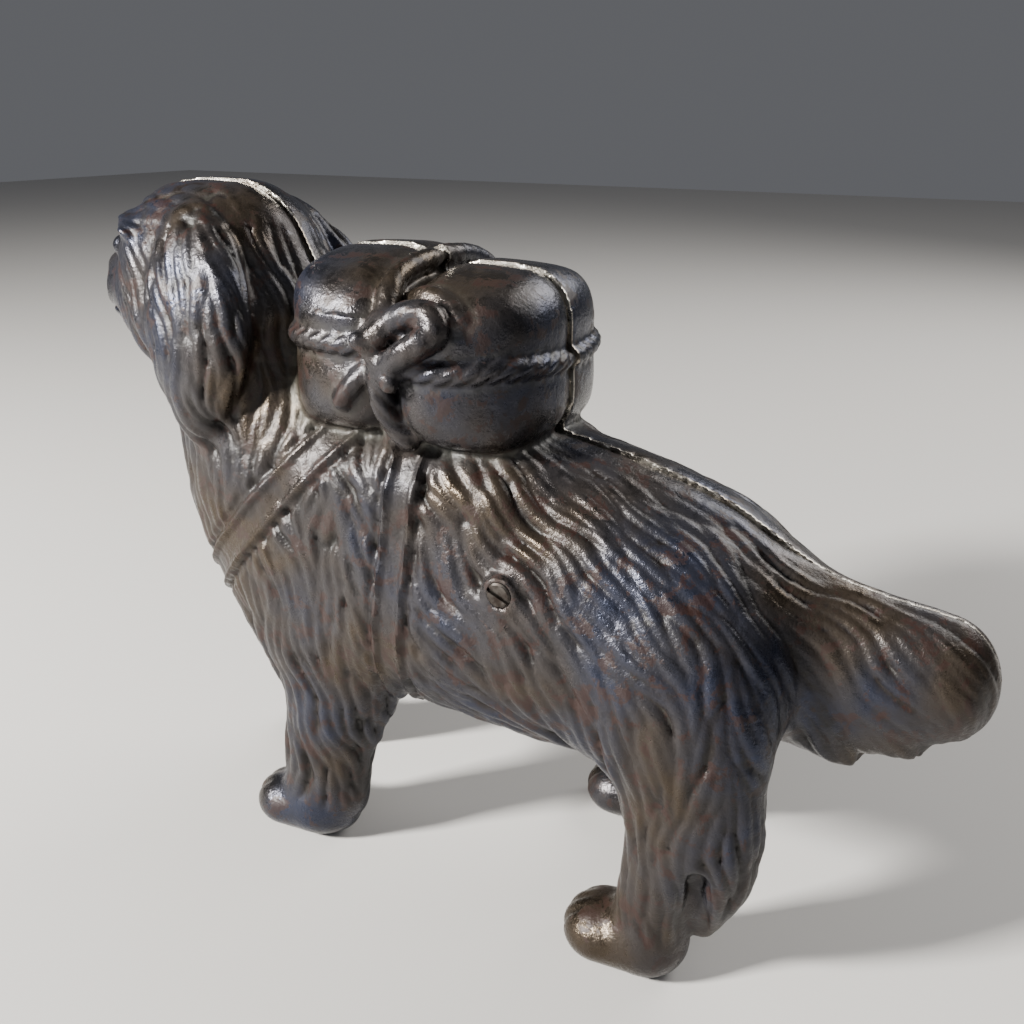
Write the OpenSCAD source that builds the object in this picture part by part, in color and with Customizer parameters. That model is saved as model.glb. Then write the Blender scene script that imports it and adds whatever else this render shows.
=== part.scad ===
// Hollow cast iron still bank: a standing long-haired dog with a roped pack.
// Two castings meet on the mid-plane y = 0 and one machine screw clamps them.
// Millimetres. The dog faces -X, its left side is -Y, and the paws stand on z = 0.

/* [Overall size] */
// Length from nose to tail
length = 194; // [150:1:240]
// Height from the soles to the top of the head
height = 140; // [110:1:170]
// Width of one half at the haunch
half_width = 30.5; // [26:0.5:38]
// Wall of the castings
wall = 3.4; // [3:0.2:6]

/* [Stance] */
// How far the right front paw stands ahead of the left one
stride_front = 18; // [0:1:24]
// How far the right rear paw stands ahead of the left one
stride_rear = 15; // [0:1:24]

/* [Pack] */
// Length of the pack along the back
pack_length = 56; // [45:1:64]
// Half width of the pack
pack_half = 25.2; // [20:0.2:28]
// Height of the pack
pack_height = 35; // [26:0.5:38]
// Diameter of the rope
rope_d = 4.4; // [3:0.1:6]
// Width of the straps
strap_w = 7; // [4:0.5:12]
// How far the straps stand out of the coat
strap_raise = 1; // [0.5:0.1:2]

/* [Coin slot] */
// Length of the coin slot
slot_length = 33; // [26:1:40]
// Opening of the coin slot
slot_gap = 4.6; // [4.2:0.1:6]
// Height of the slot above the soles
slot_z = 121; // [118:0.5:123]

/* [Screw] */
// Shank diameter
screw_d = 4.8; // [4:0.1:6]
// Head diameter
head_d = 10; // [8:0.5:14]
// Head thickness
head_t = 2.6; // [2:0.1:4]
// Position of the screw along the body
screw_x = 15.5; // [8:0.5:24]
// Height of the screw above the soles
screw_z = 73; // [66:0.5:78]

/* [Hidden] */

mid_x = 1.5;             // middle of the length in the section tables
around = 30;             // points around the large sections
around_limb = 20;        // points around legs, ears and straps
around_rope = 10;        // points around the rope
far = 400;               // size of the cutting blocks

run_clear = 0.05;        // radial clearance of the shank
boss_r = 7.5;            // screw boss
boss_depth = 16;         // how far the boss reaches in from the outside
side_y = 27.2;           // outside of the body at the screw
tip_y = 26.6;            // screw tip in the left half
seat_y = 24.2;           // seat of the screw head in the right half
driver_w = 1.3;          // screwdriver slot
driver_t = 1.3;
tip_slit = 0.8;          // slit across the flush tip

pin_r = 1.8;             // locating pins and the pads they stand on
pin_clear = 0.25;
pin_reach = 3.5;
pad_r = 4.5;
pad_depth = 7;
pin_xz = [[-62, 133.4], [60, 75.4], [-44, 48.5]];

pack_x = -8.6;           // centre of the pack
pack_z = 111.6;
knot_x = -6.3;

// Stride, height of the hip and curve of the lean of the right legs.
front_walk = [stride_front, 70, 0.6];
rear_walk = [stride_rear, 75, 0.8];

// Sections are superellipses whose plane holds the Y axis:
// [x, y, z, tilt about Y, half size along Y, half size across it, exponent]
torso = [
    [-67, 0, 78, 0, 8, 10, 2], [-63, 0, 77.5, 0, 15, 19, 2], [-56, 0, 76, 0, 20.5, 26.5, 2.1],
    [-46, 0, 74.5, 0, 23.5, 30.5, 2.3], [-34, 0, 73, 0, 25.5, 31.5, 2.5],
    [-15, 0, 70, 0, 26.4, 30.5, 2.7],
    [5, 0, 68, 0, 27, 29.5, 2.8], [20, 0, 67, 0, 27.2, 29, 2.6], [38, 0, 66, 0, 27.5, 26.5, 2.3],
    [50, 0, 64.5, 0, 26, 22.5, 2.1], [60, 0, 63, 0, 21, 19, 2], [66, 0, 62.5, 0, 13, 15, 2],
    [69, 0, 62.5, 0, 6, 8, 2]];
neck = [
    [-44, 0, 74, 60, 22, 22, 2], [-50, 0, 85, 62, 24.5, 26, 2.1], [-56, 0, 98, 68, 23.5, 24, 2.1],
    [-58.5, 0, 110, 76, 21.5, 21.5, 2], [-60, 0, 122, 84, 18, 18, 2]];
head = [
    [-40, 0, 119, 0, 6, 6, 2], [-42, 0, 119, 0, 11.5, 10, 2], [-47, 0, 119, 0, 17, 16, 2],
    [-55, 0, 119, 0, 20, 20.5, 2.1], [-64, 0, 119.2, 0, 20.2, 20.8, 2.1],
    [-72, 0, 119.5, 0, 17.6, 18.6, 2.1],
    [-79, 0, 120, 0, 14.2, 15.4, 2.1], [-83.4, 0, 120, 0, 10, 11, 2], [-85.4, 0, 120, 0, 5.4, 6.4, 2]];
muzzle = [
    [-72, 0, 114.4, 0, 12, 12.4, 2.2], [-80, 0, 114.8, 0, 10.6, 10.6, 2.3],
    [-87, 0, 115.4, 0, 8.8, 9.4, 2.4], [-92.5, 0, 116.6, 0, 6.8, 7.8, 2.4],
    [-94.8, 0, 117.8, 0, 5, 6, 2.3], [-95.5, 0, 118.4, 0, 3.4, 4.6, 2.2]];
tail = [
    [56, 0, 63, 0, 12, 17, 2], [66, 0, 61.5, 0, 11, 16.3, 2], [76, 0, 61.2, 0, 10, 15, 2],
    [85, 0, 62.8, 0, 9.8, 12.2, 2], [92, 0, 63.2, 0, 9, 10, 2], [96.5, 0, 63.4, 0, 6.4, 7, 2],
    [98.5, 0, 63.5, 0, 3, 3.6, 2]];
ear = [
    [-56, -11, 136, 90, 3.5, 5, 2], [-55, -14.5, 131, 90, 6, 10, 2],
    [-54.2, -16.8, 126, 90, 6, 13, 2], [-54.3, -19, 119, 90, 6, 13.8, 2],
    [-52.9, -21, 110.5, 90, 5.6, 13.4, 2], [-52.8, -22, 102.5, 90, 5.2, 10.4, 2],
    [-53.4, -22.2, 96.5, 90, 4, 6.8, 2], [-54.2, -22, 90, 90, 1.6, 2, 2]];
front_leg = [
    [-36, -10, 74, 90, 9, 15, 2], [-34.5, -12.5, 64, 90, 11, 17.5, 2],
    [-31.5, -14.8, 52, 90, 10, 16.5, 2],
    [-27.7, -16.5, 41, 90, 9, 14.5, 2], [-28, -17.2, 33, 90, 8, 12.3, 2],
    [-30.2, -17.4, 23, 90, 7.6, 10.8, 2],
    [-31, -17.5, 13, 90, 7.3, 10.6, 2], [-32.5, -17.5, 5, 90, 7.2, 10, 2],
    [-33.5, -17.5, 0, 90, 6.8, 9, 2]];
front_paw = [
    [-35, -17.6, 13, 90, 5, 6.5, 2], [-37, -17.7, 9.5, 90, 7.4, 10.6, 2.1],
    [-38.3, -17.8, 5.5, 90, 8.2, 12.3, 2.2],
    [-38.4, -17.8, 2, 90, 8.2, 12.3, 2.2], [-38.4, -17.8, 0, 90, 7.2, 11.2, 2.2]];
rear_leg = [
    [45.5, -11, 74, 90, 8, 11, 2], [46.5, -13.5, 67, 90, 12, 15.5, 2], [48, -16.5, 58, 90, 12.4, 17.5, 2],
    [50, -18.5, 48, 90, 11.2, 16.3, 2], [52.2, -20.2, 38, 90, 9.4, 14.2, 2],
    [53.2, -21, 29.5, 90, 8.3, 13.1, 2], [52.2, -21.6, 21, 90, 7.7, 11.7, 2],
    [50.2, -21.9, 12, 90, 7.4, 10, 2], [48, -22, 5, 90, 7.2, 8.8, 2], [47, -22, 0, 90, 6.8, 8, 2]];
rear_paw = [
    [45.5, -22, 13, 90, 5, 6.5, 2], [43.4, -22, 9.5, 90, 7.6, 10.6, 2.1],
    [42.2, -22, 5.5, 90, 8.4, 12.2, 2.2],
    [42, -22, 2, 90, 8.5, 12.2, 2.2], [42, -22, 0, 90, 7.4, 11, 2.2]];

// The pack is given by its own length, width and height: [along, across, up, exponent]
pack_form = [
    [-1, 0.4, 0.45, 2.3], [-0.94, 0.62, 0.72, 2.4], [-0.8, 0.8, 0.91, 2.6], [-0.5, 0.95, 1, 2.9],
    [-0.1, 1, 0.98, 3.1], [0.1, 1, 0.96, 3.1], [0.5, 0.97, 0.93, 2.9], [0.8, 0.84, 0.85, 2.6],
    [0.94, 0.64, 0.7, 2.4], [1, 0.42, 0.45, 2.3]];
pack = [for (p = pack_form)
    [pack_x + p[0] * pack_length / 2, 0, pack_z, 0, p[1] * pack_half, p[2] * pack_height / 2, p[3]]];
saddle = [
    [-33, 0, 92, 0, 17, 6, 3], [-29, 0, 92, 0, 21, 8.5, 3], [11, 0, 92, 0, 21, 8.5, 3],
    [16, 0, 92, 0, 17, 6, 3]];
throat = [
    [-28, 0, 97, 0, 10, 14, 3], [-24, 0, 97, 0, 14, 18, 3], [7, 0, 97, 0, 14, 18, 3],
    [11, 0, 97, 0, 10, 14, 3]];

function spow(v, p) = sign(v) * pow(abs(v), p);
function mean_x(st) = (st[0][0] + st[len(st) - 1][0]) / 2;
function mean_z(st) = (st[0][2] + st[len(st) - 1][2]) / 2;
function span(st) = norm([st[0][0] - st[len(st) - 1][0], st[0][2] - st[len(st) - 1][2]]);

// Grows every section by g, or shrinks it, and moves the end sections with it.
function grown(st, g) = let (k = 1 + 2 * g / span(st), mx = mean_x(st), mz = mean_z(st))
    [for (s = st) [mx + (s[0] - mx) * k, s[1], mz + (s[2] - mz) * k, s[3],
                   max(0.8, s[4] + g), max(0.8, s[5] + g), s[6]]];

// Mirrors a limb to its side and lets its foot stand forward of the other one.
function placed(st, side, walk) = [for (s = st)
    [s[0] - (side > 0 ? walk[0] * pow(max(0, 1 - s[2] / walk[1]), walk[2]) : 0),
     -side * s[1], s[2], s[3], s[4], s[5], s[6]]];

function section(s, n) = [for (i = [0:n - 1]) let (t = 360 * i / n,
        a = s[4] * spow(cos(t), 2 / s[6]), b = s[5] * spow(sin(t), 2 / s[6]))
    [s[0] - b * sin(s[3]), s[1] + a, s[2] + b * cos(s[3])]];

function turns_left(st) = let (a = st[0], b = st[len(st) - 1])
    (b[0] - a[0]) * cos(a[3]) + (b[2] - a[2]) * sin(a[3]) > 0;

// Closed skin through a list of sections.
module loft(st, n = around) {
    rings = len(st);
    pts = [for (s = st) each section(s, n)];
    sides = [for (r = [0:rings - 2], i = [0:n - 1]) let (j = (i + 1) % n)
        each [[r * n + i, (r + 1) * n + i, (r + 1) * n + j], [r * n + i, (r + 1) * n + j, r * n + j]]];
    ends = [[for (i = [0:n - 1]) i], [for (i = [n - 1:-1:0]) (rings - 1) * n + i]];
    all_faces = concat(sides, ends);
    polyhedron(pts, turns_left(st) ? all_faces : [for (f = all_faces) [for (i = [len(f) - 1:-1:0]) f[i]]],
               convexity = 6);
}

// Round rope along a closed path in the plane with the given normal.
module rope(path, normal, r) {
    m = len(path);
    n = around_rope;
    pts = [for (i = [0:m - 1]) let (d = path[(i + 1) % m] - path[(i + m - 1) % m],
            side = cross(d / norm(d), normal)) for (k = [0:n - 1])
        path[i] + r * cos(360 * k / n) * side + r * sin(360 * k / n) * normal];
    polyhedron(pts, [for (i = [0:m - 1], k = [0:n - 1]) let (i2 = (i + 1) % m, k2 = (k + 1) % n)
        each [[i * n + k, i * n + k2, i2 * n + k2],
        [i * n + k, i2 * n + k2, i2 * n + k]]], convexity = 6);
}

module trunk(g = 0) {
    loft(grown(torso, g));
    loft(grown(neck, g));
    loft(grown(head, g));
    loft(grown(pack, g));
}

// Straps follow the coat: a slab of the trunk grown by the strap height.
module straps() {
    girth_x = -6;
    chest = [-39.5, 0, 76.5];
    intersection() {
        loft(grown(torso, strap_raise));
        translate([girth_x, 0, 0]) cube([strap_w, far, far], center = true);
    }
    intersection() {
        union() { loft(grown(torso, strap_raise)); loft(grown(neck, strap_raise)); }
        translate(chest) rotate([0, -45, 0]) translate([-far / 4, 0, 0])
            cube([far / 2, far, strap_w], center = true);
    }
}

module ropes() {
    sink = 0.35 * rope_d;
    a = pack_length / 2;
    girth = [for (t = [0:10:350]) [pack_x + (a - sink) * spow(cos(t), 0.62),
        (pack_half - sink * 0.4) * spow(sin(t), 0.62), pack_z + 2 - 3 * abs(sin(t))]];
    over = [for (t = [0:10:350]) [knot_x + 3 * sin(t), (pack_half - sink * 0.4) * spow(cos(t), 0.62),
        pack_z + (pack_height / 2 - sink * 0.6) * spow(sin(t), 0.62)]];
    rope(girth, [0, 0, 1], rope_d / 2);
    rope(over, [1, 0, 0], rope_d / 2);
}

module knot(side) {
    translate([knot_x, side * (pack_half - 0.5), pack_z + 2]) scale([1.3, 0.8, 1.3])
        sphere(r = 4, $fn = 16);
    translate([knot_x + 7, side * (pack_half - 1.2), pack_z + 6]) rotate([0, -35, 0])
        scale([1.9, 0.8, 1.2]) sphere(r = 4, $fn = 16);
}

module outside(side) {
    trunk();
    loft(saddle);
    loft(muzzle);
    loft(tail);
    loft([for (s = ear) [s[0], -side * s[1], s[2], s[3], s[4], s[5], s[6]]], around_limb);
    for (limb = [front_leg, front_paw]) loft(placed(limb, side, front_walk), around_limb);
    for (limb = [rear_leg, rear_paw]) loft(placed(limb, side, rear_walk), around_limb);
    straps();
    ropes();
    knot(side);
}

// One hollow casting, cut on the mid-plane and brought to the overall size.
module shell(side) {
    resize([length, half_width, height]) translate([-mid_x, 0, 0])
        difference() {
            intersection() {
                outside(side);
                translate([0, side * far / 2, far / 2]) cube(far, center = true);
            }
            trunk(-wall);
            loft(throat);
        }
}

// Cylinder along +Y from y0 to y1 at a point of the XZ plane.
module along_y(x, z, r, y0, y1) {
    translate([x, y0, z]) rotate([-90, 0, 0]) cylinder(r = r, h = y1 - y0, $fn = 64);
}

module left_half() color([0.16, 0.14, 0.14]) {
    difference() {
        union() {
            shell(-1);
            along_y(screw_x, screw_z, boss_r, -side_y + 1.5, -side_y + boss_depth);
            for (p = pin_xz) along_y(p[0] - mid_x, p[1], pad_r, -pad_depth, 0);
            for (p = pin_xz) along_y(p[0] - mid_x, p[1], pin_r, -1, pin_reach);
        }
        along_y(screw_x, screw_z, screw_d / 2 + run_clear, -far / 4, 0);
    }
}

module right_half() color([0.16, 0.14, 0.14]) {
    difference() {
        union() {
            shell(1);
            along_y(screw_x, screw_z, boss_r, side_y - boss_depth, side_y - 1.5);
            for (p = pin_xz) along_y(p[0] - mid_x, p[1], pad_r, 0, pad_depth);
        }
        along_y(screw_x, screw_z, screw_d / 2 + run_clear, 0, far / 4);
        along_y(screw_x, screw_z, head_d / 2 + 0.3, seat_y, far / 4);
        for (p = pin_xz) along_y(p[0] - mid_x, p[1], pin_r + pin_clear, -1, pin_reach + 0.5);
        translate([pack_x - mid_x - slot_length / 2, pack_half - 3 * wall, slot_z - slot_gap / 2])
            cube([slot_length, far / 4, slot_gap]);
    }
}

module screw() color([0.45, 0.43, 0.42]) {
    difference() {
        union() {
            along_y(screw_x, screw_z, screw_d / 2, -tip_y, seat_y + 0.5);
            along_y(screw_x, screw_z, head_d / 2, seat_y + run_clear, seat_y + head_t);
        }
        translate([screw_x - head_d, seat_y + head_t - driver_t, screw_z - driver_w / 2])
            cube([2 * head_d, far / 8, driver_w]);
        translate([screw_x - head_d, -tip_y, screw_z - tip_slit / 2])
            cube([2 * head_d, tip_slit, tip_slit]);
    }
}

left_half();
right_half();
screw();
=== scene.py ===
"""A hollow cast iron still bank: a standing long-haired dog with a roped pack, in two halves and a screw.

Each half is sculpted as one distance field: soft forms joined together, cut on the mid-plane and hollowed.
Its skin is then carved into overlapping locks of hair along the lie of the coat.
The form tables are millimetres with the middle of the length at MID_X; the meshes leave in metres in the
shared frame. The dog faces -X, its left side is -Y and the soles are on z = 0.
"""
import math

import bpy
import numpy as np
from mathutils import Matrix, Vector


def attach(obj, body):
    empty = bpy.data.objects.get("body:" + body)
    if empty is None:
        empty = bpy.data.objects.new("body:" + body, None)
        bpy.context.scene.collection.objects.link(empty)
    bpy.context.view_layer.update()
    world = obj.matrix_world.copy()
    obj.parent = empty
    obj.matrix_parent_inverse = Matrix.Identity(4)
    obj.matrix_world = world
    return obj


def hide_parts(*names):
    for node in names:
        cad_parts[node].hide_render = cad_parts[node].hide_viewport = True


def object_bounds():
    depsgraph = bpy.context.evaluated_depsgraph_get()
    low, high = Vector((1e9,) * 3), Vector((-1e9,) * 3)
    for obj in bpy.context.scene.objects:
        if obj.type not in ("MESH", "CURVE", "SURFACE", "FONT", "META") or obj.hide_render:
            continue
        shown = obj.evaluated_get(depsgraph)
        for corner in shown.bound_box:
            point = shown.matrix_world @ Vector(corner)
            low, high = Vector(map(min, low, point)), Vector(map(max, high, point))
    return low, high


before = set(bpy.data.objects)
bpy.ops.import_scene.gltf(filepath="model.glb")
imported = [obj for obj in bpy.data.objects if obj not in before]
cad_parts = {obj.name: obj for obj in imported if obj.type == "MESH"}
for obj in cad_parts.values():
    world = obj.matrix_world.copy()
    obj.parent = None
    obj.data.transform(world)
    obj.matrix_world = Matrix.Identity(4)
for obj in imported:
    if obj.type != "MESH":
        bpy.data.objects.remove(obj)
cad_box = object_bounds()

MM = 0.001
MID_X = 1.5            # middle of the length in the form tables
CELL = 0.6             # grid spacing of the sculpt
WALL = 3.4
# The grid spans the CAD box.
NOSE_X, TAIL_X = (round(corner[0] / MM, 1) + MID_X for corner in cad_box)
HALF_WIDTH, HEAD_TOP = (round(cad_box[1][i] / MM, 1) for i in (1, 2))

SCREW_X, SCREW_Z = 17.0, 73.0
SCREW_R, BORE_R = 2.4, 2.5
SEAT_Y, HEAD_R, TIP_Y, BOSS_R = 24.2, 5.0, 26.6, 7.5
BOSS_IN_Y = 11.2       # how far the screw boss reaches in
PINS = [(-62, 133.4), (60, 75.4), (-44, 48.5)]
PAD_R, PAD_DEPTH, PIN_R, PIN_REACH = 4.5, 7.0, 1.8, 3.5
SEAT_R, SOCKET_R = HEAD_R + 0.35, PIN_R + 0.25
END_R, END_HALF, END_RIM = 3.3, 1.5, 0.8       # flush end of the screw: radius, half length, clear rim
# The coin slot: middle, half length, half height and how far in it starts.
COIN_X, COIN_Z, COIN_HALF, COIN_GAP = -8.6, 121.0, 16.5, 2.3
COIN_IN_Y = 8.0
# The hollows of the two bundles are joined, so that a coin passes: middle (x, z), half sizes, rounding.
PASSAGE, PASSAGE_ROUND = ((-8.2, 111.1), (12, 15.5, 10.2)), 5.0
# How far the left half falls short of the right one at the seam, how far down its side, the curve of that,
# and where it fades: low down, and towards the tip of the tail.
SEAM_STEP, SEAM_REACH, SEAM_CURVE = 0.95, 4.5, 1.3
SEAM_RISE, SEAM_END = (66, 76), (58, 68)

# ---- forms of the dog
# A form is a chain of ellipsoids along a path: x, y, z, half size across Y,
# half size across the path, half size along it.
TORSO = [(-46, 0, 75, 22, 29, 20.5), (-32, 0, 73, 24.5, 31, 22), (-12, 0, 70, 25.5, 30, 22),
         (10, 0, 68.5, 26, 29, 22), (28, 0, 67, 26.5, 27, 22), (42, 0, 65, 25, 24.5, 22),
         (48, 0, 64, 23, 21.5, 20)]
BELLY = [(-14, 12, 56, 13, 15, 14), (6, 13, 55.5, 13, 15.5, 16), (26, 13, 54.5, 13, 15.8, 14),
         (38, 13, 55, 12, 15, 12)]
SADDLE = [(-28, 10, 86, 12.5, 10.5, 9), (-8, 10.5, 86, 13, 11, 12), (11, 10, 85.5, 12.5, 10.5, 9)]
NECK = [(-47, 0, 82, 23, 24, 14), (-51, 0, 96, 22, 23.5, 13), (-54.5, 0, 109, 20.5, 22, 12)]
RUFF = [(-48, 0, 67, 20, 17, 12), (-47, 0, 55, 17.5, 15, 11), (-43.5, 0, 46, 14.5, 11.5, 8)]
SKULL = [(-58.5, 0, 119, 19.6, 20.9, 19), (-66, 0, 120, 19, 20, 17), (-72.8, 0, 121.2, 17.4, 18.2, 13)]
CHEEK = [(-70, 11, 111, 7.5, 9, 8), (-78, 7, 113, 6.5, 8, 6)]
MUZZLE = [(-78, 0, 115.4, 11.5, 10.4, 8), (-84, 0, 115.4, 10.2, 9.5, 8), (-87.8, 0, 115.6, 8.9, 9.1, 7.2)]
JAW = [(-82, 0, 110, 7.5, 4.8, 7)]
NOSE = [(-91, 0, 120.8, 5.6, 3.6, 4.4)]
TAIL = [(58, 0, 62, 12, 17.5, 12), (68.5, 0, 60.5, 11, 17.2, 9), (77, 0, 60.8, 10.3, 15.6, 8.5),
        (84, 0, 62, 10, 13.4, 8.5), (89, 0, 62.6, 9.5, 11.8, 9.5)]
EAR = [(-59, 12.6, 131, 5, 7.4, 5), (-57.2, 15.8, 126, 5.8, 10.4, 6), (-55, 18.8, 119, 6.2, 13.2, 7),
       (-52.9, 21, 110.5, 5.8, 13.4, 7), (-52.8, 22, 102.5, 5.2, 10.4, 6.5),
       (-53.4, 22.2, 96.5, 4.2, 6.8, 5), (-54.2, 22, 91.8, 2.6, 3, 2.6)]
BROW = [(-81.4, 4.6, 130.4, 2.4, 1.9, 2.4), (-79.2, 10, 131.2, 2.7, 2.1, 2.6),
        (-75.4, 14.6, 129.6, 2.4, 1.8, 2.6)]
EYE, EYE_R = (-82.6, 9.2, 125.8), 2.5
# Carved into the face: eye socket, mouth, nostril and the notch under the nose, each with its softness.
FACE_CUTS = [([(-85.6, 11, 126.4, 3.4, 3, 3.4)], 1.0),
             ([(-94, 1, 112.4, 0.8, 0.6, 0.8), (-90.5, 6.6, 112, 0.8, 0.6, 0.8),
               (-85.5, 9.4, 111.2, 0.8, 0.5, 0.8)], 0.8),
             ([(-95, 2.8, 121, 1.1, 1.1, 1.4)], 0.5),
             ([(-96, 0, 118.5, 0.5, 3, 1.2)], 0.6)]
FRONT_LEG = [(-36, 11, 67, 11.5, 18, 12), (-33.5, 13.5, 54, 11, 17.5, 10), (-28.2, 15.6, 41, 9.4, 15, 9),
             (-28.6, 16.4, 33, 8.4, 12.3, 8), (-30.8, 16.8, 23, 7.6, 10.8, 8),
             (-31.8, 17, 13, 7.2, 10.5, 7), (-33, 17, 7, 7, 9.4, 6)]
FRONT_PAW = [(-34, 17.1, 6, 7.4, 6.6, 8), (-41.6, 17.2, 5.4, 8, 6.1, 8)]
REAR_LEG = [(46, 11.5, 69, 11, 13, 12), (47, 15, 61, 12.8, 17.5, 13), (49.5, 17.6, 51, 12, 17.3, 11),
            (52, 19.6, 41, 9.8, 14.2, 9), (53.4, 20.6, 33, 8.8, 13.4, 8), (51.8, 21.2, 26, 8, 11.2, 7),
            (48.8, 21.6, 19, 7.6, 8.6, 7), (47.7, 21.8, 12, 7.4, 7.7, 6), (47, 21.8, 7, 7, 7.5, 6)]
HOCK = [(58, 21.2, 31, 6, 6.6, 5), (60.6, 21.3, 24.5, 4.8, 4.8, 4.5), (59.8, 21.4, 18, 3.6, 3.2, 4),
        (58.2, 21.4, 13, 2.2, 1.8, 2.5)]
HOCK_HOLLOW = [(57, 27.2, 25, 2.4, 1.6, 4), (56, 27.6, 14, 2.4, 1.5, 4)]
REAR_PAW = [(46.5, 21.8, 6, 7.6, 6.8, 7.5), (38, 21.8, 5.4, 8.3, 6.2, 8)]
# How far ahead the right leg stands, the height of its hip and the curve between.
FRONT_WALK, REAR_WALK = (18.0, 70.0, 0.6), (15.0, 75.0, 0.8)
PAWS = (FRONT_PAW, FRONT_WALK), (REAR_PAW, REAR_WALK)

# Tufts that break the outline of the coat: x, y, z, direction, length, thickness.
TUFTS = [(-18.5, 16, 40, 0.6, -1, 6, 4.4), (-21, 16.4, 33.5, 0.45, -1, 6, 3.9),
         (-23.2, 16.8, 27.5, 0.35, -1, 5.5, 3.7), (-24, 17, 21.5, 0.25, -1, 5.5, 3.4),
         (-24.4, 17, 15, 0.15, -1, 5, 3.3), (-12, 14, 47, 1, -0.6, 7, 4),
         (59, 18, 52, 0.5, -1, 7, 5), (60, 20, 41, 0.2, -1, 6, 4.2), (70, 3, 49, 0.8, -0.6, 7, 4.4),
         (80, 3, 52.5, 0.9, -0.4, 7, 4.2), (-57, 8, 60, -0.3, -1, 8, 4.5), (-53, 9, 50, 0, -1, 7, 4.2)]

# The pack is four soft lobes: x, z, half length, half width, half height.
PACK_LOBES = [(-21.8, 119.2, 14, 25, 10.3), (5.1, 116.9, 13.9, 25.2, 10.3),
              (-21.9, 105.8, 14.5, 25.3, 9.1), (6.5, 105, 13.7, 25.6, 9.2)]
PACK_ROUND, PACK_BLEND = 9.0, 4.0
PACK_PLAN = (-8.6, 28.6, 25.9, 2.3)         # outline from above: middle, half length, half width, exponent
PLAN_SCALE = 24.0                           # turns the outline's ratio into about a distance
# The dome on the lobes above DOME_FROM: its drop, the reach at which it drops so far, and its last reach.
DOME_SIDES, DOME_ENDS, DOME_FROM = (6.5, 25, 30), (2.5, 28, 32), 112
PACK_FOOT = [(-7.4, 14, 96.5, 8, 5, 4), (-7.6, 13, 102, 7.5, 5, 3.5)]     # fills the foot of the valley
PACK_BOX = np.array([-39, 0, 94.0]), np.array([23, 28, 131.0])

# Straps: two points of the middle line in side view, the lowest height and the highest one.
STRAPS = [((-24.4, 93.2), (-55, 60.5), 46, 95), ((-4.8, 95), (-7.1, 62), 30, 96)]
STRAP_HALF = 3.5


def unit(v):
    """The rows of v at length 1."""
    return v / np.maximum(np.linalg.norm(v, axis=1, keepdims=True), 1e-6)


def spline_rows(rows, count):
    """Catmull-Rom through the rows, count samples a span."""
    p = np.array(rows, float)
    if len(p) == 1:
        return p
    p = np.vstack([2 * p[0] - p[1], p, 2 * p[-1] - p[-2]])
    out = []
    for i in range(1, len(p) - 2):
        for t in np.arange(count) / count:
            a, b, c, d = p[i - 1], p[i], p[i + 1], p[i + 2]
            out.append(0.5 * (2 * b + (c - a) * t + (2 * a - 5 * b + 4 * c - d) * t ** 2
                              + (3 * b - a - 3 * c + d) * t ** 3))
    out.append(p[-2])
    return np.array(out)


class Swept:
    """Union of ellipsoids that turn with the path."""

    def __init__(self, rows, samples=5):
        self.rows = spline_rows(rows, samples)
        step = np.gradient(self.rows[:, [0, 2]], axis=0) if len(self.rows) > 1 else np.array([[1.0, 0.0]])
        self.dirs = unit(step)
        reach = self.rows[:, 3:6].max(axis=1)
        self.low = (self.rows[:, :3] - reach[:, None]).min(axis=0)
        self.high = (self.rows[:, :3] + reach[:, None]).max(axis=0)

    def __call__(self, x, y, z):
        best = None
        for (cx, cy, cz, ry, rv, ra), (ct, st) in zip(self.rows, self.dirs):
            dx, dz = x - cx, z - cz
            u, v, w = (dx * ct + dz * st) / ra, (dz * ct - dx * st) / rv, (y - cy) / ry
            k0 = np.sqrt(u * u + v * v + w * w)
            k1 = np.sqrt((u / ra) ** 2 + (v / rv) ** 2 + (w / ry) ** 2) + 1e-6
            d = k0 * (k0 - 1) / k1
            best = d if best is None else np.minimum(best, d)
        return best


def tuft(x, y, z, dx, dz, length, thick):
    """A pointed lock that stands out of the outline."""
    n = math.hypot(dx, dz)
    ux, uz = dx / n * length, dz / n * length
    return Swept([(x, y, z, thick, thick, thick),
                  (x + 0.5 * ux, y + 0.2, z + 0.5 * uz, 0.85 * thick, 0.85 * thick, thick),
                  (x + ux, y, z + uz, 0.55 * thick, 0.5 * thick, 0.6 * thick)], 4)


def soft_min(a, b, k):
    """Smaller of two distances, rounded where they meet."""
    h = np.maximum(k - np.abs(a - b), 0) / k
    return np.minimum(a, b) - h * h * k * 0.25


def soft_max(a, b, k):
    return -soft_min(-a, -b, k)


def smooth_step(value, low, high):
    """0 below low, 1 above high and an even rise between."""
    t = np.clip((value - low) / (high - low), 0, 1)
    return t * t * (3 - 2 * t)


def dome_drop(x, y):
    """How far the top of the pack falls towards its sides and ends."""
    (side_drop, side_at, side_last), (end_drop, end_at, end_last) = DOME_SIDES, DOME_ENDS
    return (side_drop * (np.minimum(np.abs(y), side_last) / side_at) ** 2
            + end_drop * (np.minimum(np.abs(x - PACK_PLAN[0]), end_last) / end_at) ** 4)


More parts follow.
